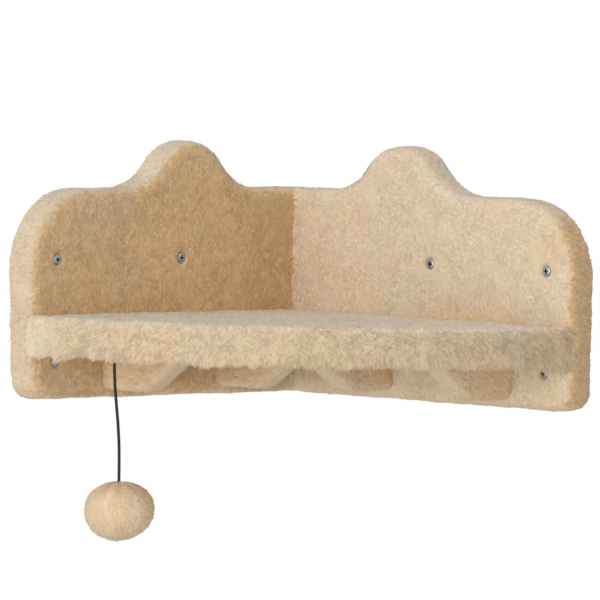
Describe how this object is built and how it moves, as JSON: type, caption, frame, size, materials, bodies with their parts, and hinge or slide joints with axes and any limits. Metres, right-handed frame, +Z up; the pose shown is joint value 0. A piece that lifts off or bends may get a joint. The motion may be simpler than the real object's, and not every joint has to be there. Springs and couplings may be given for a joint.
{
  "type": "corner cat perch",
  "caption": "Plush-covered corner wall perch for a cat: humped back panels at a right angle, a quarter-round shelf on brackets, and a plush ball on an elastic cord.",
  "frame": {"origin": "where the two room walls meet, level with the back panels' bottom edges", "axes": "+Z up; the left wall is the plane X = 0 and the right wall the plane Y = 0, with the room at +X and -Y"},
  "size_m": [0.437, 0.437, 0.3832],
  "materials": {
    "plush": "beige faux-fur plush",
    "board": "raw particle board",
    "foam": "soft foam",
    "zinc": "zinc plated",
    "staple_wire": "galvanised wire",
    "cord": "black braided elastic",
    "filling": "fibre filling"
  },
  "bodies": {
    "perch": {"left_panel_board": "board", "right_panel_board": "board", "shelf_board": "board", "left_outer_bracket_board": "board", "left_inner_bracket_board": "board", "right_inner_bracket_board": "board", "right_outer_bracket_board": "board", "left_panel_cover": "plush", "right_panel_cover": "plush", "shelf_cover": "plush", "left_outer_bracket_cover": "plush", "left_inner_bracket_cover": "plush", "right_inner_bracket_cover": "plush", "right_outer_bracket_cover": "plush", "shelf_foam_pad": "foam", "wall_screws": "zinc", "corner_screws": "zinc", "shelf_screws": "zinc", "bracket_screws": "zinc", "bracket_top_screws": "zinc", "panel_staples": "staple_wire", "shelf_staples": "staple_wire", "toy_screw_eye": "zinc"},
    "toy_loop": {"cord_loop": "cord"},
    "toy_line": {"toy_cord": "cord"},
    "toy_knot": {"ball_knot": "cord"},
    "toy_ball": {"ball_cover": "plush", "ball_filling": "filling"}
  },
  "joints": [
    {"name": "swing_from_wall", "type": "hinge", "parent": "perch", "child": "toy_loop", "pos_m": [0.092, -0.34303, 0.046], "axis": [0, -1, 0], "range_deg": [-22, 60]},
    {"name": "swing_along_wall", "type": "hinge", "parent": "toy_loop", "child": "toy_line", "pos_m": [0.092, -0.34303, 0.0431], "axis": [1, 0, 0], "range_deg": [-60, 40]},
    {"name": "cord_stretch", "type": "slide", "parent": "toy_line", "child": "toy_knot", "axis": [0, 0, -1], "range_m": [0, 0.06], "stiffness_N_per_m": 50, "springref_m": -0.006, "deforming": ["toy_cord"]},
    {"name": "ball_spin", "type": "hinge", "parent": "toy_knot", "child": "toy_ball", "pos_m": [0.0972, -0.33805, -0.0837], "axis": [0, 0, 1], "range_deg": [-180, 180]}
  ]
}
